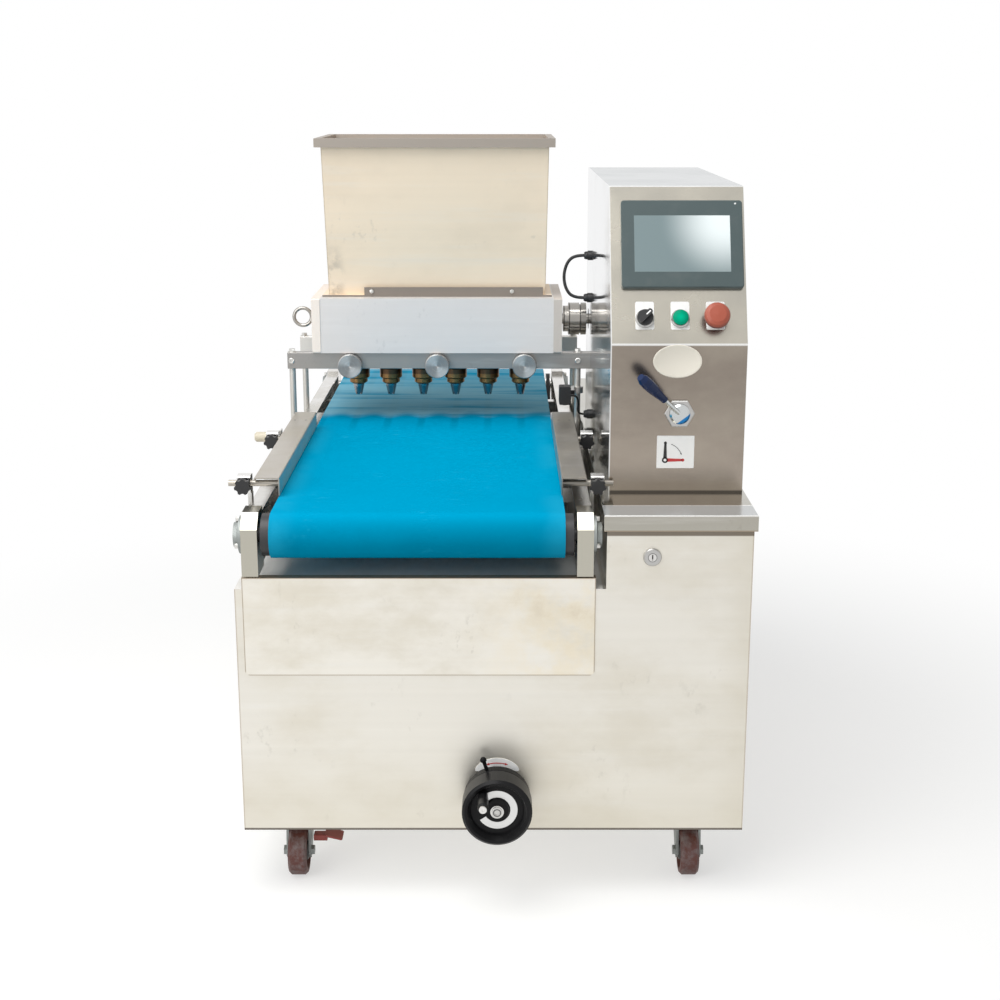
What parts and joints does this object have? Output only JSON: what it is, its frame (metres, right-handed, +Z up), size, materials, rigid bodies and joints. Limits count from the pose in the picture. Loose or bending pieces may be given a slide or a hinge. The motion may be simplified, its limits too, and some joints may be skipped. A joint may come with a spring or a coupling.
{
  "type": "biscuit making machine",
  "caption": "Wheeled cabinet with a lifting belt table under a hopper, feed rollers and a row of nozzles that drop dough on trays, beside an operator console.",
  "frame": {"origin": "on the floor under the middle of the cabinet", "axes": "+X to the operator's right, +Y away from the operator along the belt, +Z up"},
  "size_m": [0.827, 1.4265, 1.163],
  "materials": {
    "cabinet_steel": "satin",
    "console_steel": "polished",
    "bright_steel": "polished",
    "belt_blue": "matte",
    "nozzle_brass": "satin",
    "tip_steel": "satin",
    "knob_aluminium": "turned",
    "black_plastic": "matte",
    "cable_black": "matte",
    "screen_slate": "matte",
    "screen_pane": "gloss",
    "start_green": "gloss",
    "stop_red": "gloss",
    "lever_navy": "gloss",
    "eye_cream": "matte",
    "wheel_brown": "matte",
    "motor_paint": "semi-gloss",
    "bearing_iron": "cast"
  },
  "bodies": {
    "base": {"cabinet_shell": "cabinet_steel", "cabinet_lid": "cabinet_steel", "front_panel": "cabinet_steel", "caster_mounts": "cabinet_steel", "lift_bearings": "bearing_iron", "head_frame": "cabinet_steel", "pump_body": "cabinet_steel", "pump_ends": "cabinet_steel", "lifting_eye": "bright_steel", "nozzle_manifold": "cabinet_steel", "nozzle_holders": "nozzle_brass", "nozzle_tips": "tip_steel", "hopper": "cabinet_steel", "console_shell": "console_steel", "console_back": "console_steel", "screen_frame": "screen_slate", "screen_glass": "screen_pane", "panel_fittings": "bright_steel", "pump_motor": "motor_paint", "tray_sensor": "black_plastic", "cable_glands": "black_plastic", "sensor_cable": "cable_black", "loop_cable": "cable_black"},
    "table": {"conveyor_belt": "belt_blue", "table_frame": "cabinet_steel", "drum_bearings": "bearing_iron", "belt_bed": "cabinet_steel", "drive_belt": "cable_black", "belt_motor": "motor_paint", "lift_plate": "cabinet_steel", "beam_eye": "eye_cream"},
    "handwheel": {"handwheel": "black_plastic", "handwheel_shaft": "bright_steel"},
    "tray_guide_left": {"tray_guide_left": "cabinet_steel"},
    "tray_guide_right": {"tray_guide_right": "cabinet_steel"},
    "caster_fork_front_left": {"caster_fork_front_left": "cabinet_steel"},
    "caster_fork_front_right": {"caster_fork_front_right": "cabinet_steel"},
    "lift_screw": {"lift_screw": "bright_steel"},
    "driven_roller": {"driven_roller": "bright_steel"},
    "idle_roller": {"idle_roller": "bright_steel"},
    "front_drum": {"front_drum": "bright_steel"},
    "rear_drum": {"rear_drum": "bright_steel"},
    "lock_barrel": {"lock_barrel": "bright_steel"},
    "motor_shaft": {"motor_shaft": "bright_steel"},
    "head_knob_left": {"head_knob_left": "knob_aluminium"},
    "head_knob_middle": {"head_knob_middle": "knob_aluminium"},
    "head_knob_right": {"head_knob_right": "knob_aluminium"},
    "star_knob_front_left": {"star_knob_front_left": "black_plastic"},
    "star_knob_rear_left": {"star_knob_rear_left": "black_plastic"},
    "star_knob_front_right": {"star_knob_front_right": "black_plastic"},
    "star_knob_rear_right": {"star_knob_rear_right": "black_plastic"},
    "crank_handle": {"crank_handle": "black_plastic"},
    "selector_knob": {"selector_knob": "black_plastic"},
    "start_button": {"start_button": "start_green"},
    "stop_button": {"stop_button": "stop_red"},
    "shift_lever": {"shift_lever": "lever_navy"},
    "caster_wheel_front_left": {"caster_wheel_front_left": "wheel_brown"},
    "caster_wheel_front_right": {"caster_wheel_front_right": "wheel_brown"},
    "caster_wheel_rear_left": {"caster_wheel_rear_left": "wheel_brown"},
    "caster_wheel_rear_right": {"caster_wheel_rear_right": "wheel_brown"}
  },
  "joints": [
    {"name": "handwheel_turn", "type": "hinge", "parent": "base", "child": "handwheel", "pos_m": [0.006, -0.575, 0.179], "axis": [0, 1, 0], "range_deg": [0, 2160]},
    {"name": "table_lift", "type": "slide", "parent": "base", "child": "table", "axis": [0, 0, 1], "range_m": [0, 0.03]},
    {"name": "screw_turn", "type": "hinge", "parent": "base", "child": "lift_screw", "pos_m": [0.006, 0, 0.179], "axis": [0, 0, 1], "range_deg": [-2160, 0]},
    {"name": "handle_spin", "type": "hinge", "parent": "handwheel", "child": "crank_handle", "pos_m": [-0.01521, -0.64, 0.20428], "axis": [0, 1, 0], "continuous": true},
    {"name": "rear_drum_turn", "type": "hinge", "parent": "table", "child": "rear_drum", "pos_m": [-0.114, 0.7, 0.5955], "axis": [1, 0, 0], "continuous": true},
    {"name": "front_drum_turn", "type": "hinge", "parent": "table", "child": "front_drum", "pos_m": [-0.114, -0.555, 0.5955], "axis": [1, 0, 0], "continuous": true},
    {"name": "motor_turn", "type": "hinge", "parent": "table", "child": "motor_shaft", "pos_m": [0.1193, 0.5, 0.468], "axis": [1, 0, 0], "continuous": true},
    {"name": "tray_guide_left_slide", "type": "slide", "parent": "table", "child": "tray_guide_left", "axis": [1, 0, 0], "range_m": [-0.0015, 0.008]},
    {"name": "tray_guide_right_slide", "type": "slide", "parent": "table", "child": "tray_guide_right", "axis": [-1, 0, 0], "range_m": [-0.0015, 0.008]},
    {"name": "driven_roller_turn", "type": "hinge", "parent": "base", "child": "driven_roller", "pos_m": [-0.109, 0.199, 0.818], "axis": [1, 0, 0], "continuous": true},
    {"name": "idle_roller_turn", "type": "hinge", "parent": "base", "child": "idle_roller", "pos_m": [-0.109, 0.251, 0.818], "axis": [1, 0, 0], "continuous": true},
    {"name": "selector_turn", "type": "hinge", "parent": "base", "child": "selector_knob", "pos_m": [0.235, -0.42262, 0.90513], "axis": [0, -0.9057, 0.4239], "range_deg": [0, 90]},
    {"name": "start_push", "type": "slide", "parent": "base", "child": "start_button", "axis": [0, 0.9057, -0.4239], "range_m": [0, 0.003], "stiffness_N_per_m": 300},
    {"name": "stop_push", "type": "slide", "parent": "base", "child": "stop_button", "axis": [0, 0.9057, -0.4239], "range_m": [0, 0.005], "stiffness_N_per_m": 400},
    {"name": "lever_turn", "type": "hinge", "parent": "base", "child": "shift_lever", "pos_m": [0.291, -0.44, 0.76], "axis": [0, 1, 0], "range_deg": [-45, 45]},
    {"name": "lock_turn", "type": "hinge", "parent": "base", "child": "lock_barrel", "pos_m": [0.241, -0.575, 0.566], "axis": [0, 1, 0], "range_deg": [0, 90]},
    {"name": "star_knob_front_left_turn", "type": "hinge", "parent": "table", "child": "star_knob_front_left", "pos_m": [-0.3915, -0.45, 0.65], "axis": [0, -1, 0], "range_deg": [0, 360]},
    {"name": "star_knob_rear_left_turn", "type": "hinge", "parent": "table", "child": "star_knob_rear_left", "pos_m": [-0.3915, -0.128, 0.65], "axis": [0, -1, 0], "range_deg": [0, 360]},
    {"name": "star_knob_front_right_turn", "type": "hinge", "parent": "table", "child": "star_knob_front_right", "pos_m": [0.1635, -0.45, 0.65], "axis": [0, -1, 0], "range_deg": [0, 360]},
    {"name": "star_knob_rear_right_turn", "type": "hinge", "parent": "table", "child": "star_knob_rear_right", "pos_m": [0.1635, -0.128, 0.65], "axis": [0, -1, 0], "range_deg": [0, 360]},
    {"name": "head_knob_left_turn", "type": "hinge", "parent": "base", "child": "head_knob_left", "pos_m": [-0.275, 0.118, 0.74], "axis": [0, -1, 0], "range_deg": [0, 360]},
    {"name": "head_knob_middle_turn", "type": "hinge", "parent": "base", "child": "head_knob_middle", "pos_m": [-0.109, 0.118, 0.74], "axis": [0, -1, 0], "range_deg": [0, 360]},
    {"name": "head_knob_right_turn", "type": "hinge", "parent": "base", "child": "head_knob_right", "pos_m": [0.057, 0.118, 0.74], "axis": [0, -1, 0], "range_deg": [0, 360]},
    {"name": "caster_swivel_front_left", "type": "hinge", "parent": "base", "child": "caster_fork_front_left", "pos_m": [-0.319, -0.465, 0.1], "axis": [0, 0, 1], "continuous": true},
    {"name": "wheel_spin_front_left", "type": "hinge", "parent": "caster_fork_front_left", "child": "caster_wheel_front_left", "pos_m": [-0.319, -0.495, 0.04], "axis": [1, 0, 0], "continuous": true},
    {"name": "wheel_spin_rear_left", "type": "hinge", "parent": "base", "child": "caster_wheel_rear_left", "pos_m": [-0.319, 0.495, 0.04], "axis": [1, 0, 0], "continuous": true},
    {"name": "caster_swivel_front_right", "type": "hinge", "parent": "base", "child": "caster_fork_front_right", "pos_m": [0.319, -0.465, 0.1], "axis": [0, 0, 1], "continuous": true},
    {"name": "wheel_spin_front_right", "type": "hinge", "parent": "caster_fork_front_right", "child": "caster_wheel_front_right", "pos_m": [0.319, -0.495, 0.04], "axis": [1, 0, 0], "continuous": true},
    {"name": "wheel_spin_rear_right", "type": "hinge", "parent": "base", "child": "caster_wheel_rear_right", "pos_m": [0.319, 0.495, 0.04], "axis": [1, 0, 0], "continuous": true}
  ],
  "couplings": [
    {"joint": "handwheel_turn", "follows": "table_lift", "rad_per_m": 1256.6},
    {"joint": "screw_turn", "follows": "table_lift", "rad_per_m": -1256.6},
    {"joint": "front_drum_turn", "follows": "rear_drum_turn", "ratio": 1},
    {"joint": "motor_turn", "follows": "rear_drum_turn", "ratio": 1},
    {"joint": "idle_roller_turn", "follows": "driven_roller_turn", "ratio": -1}
  ]
}
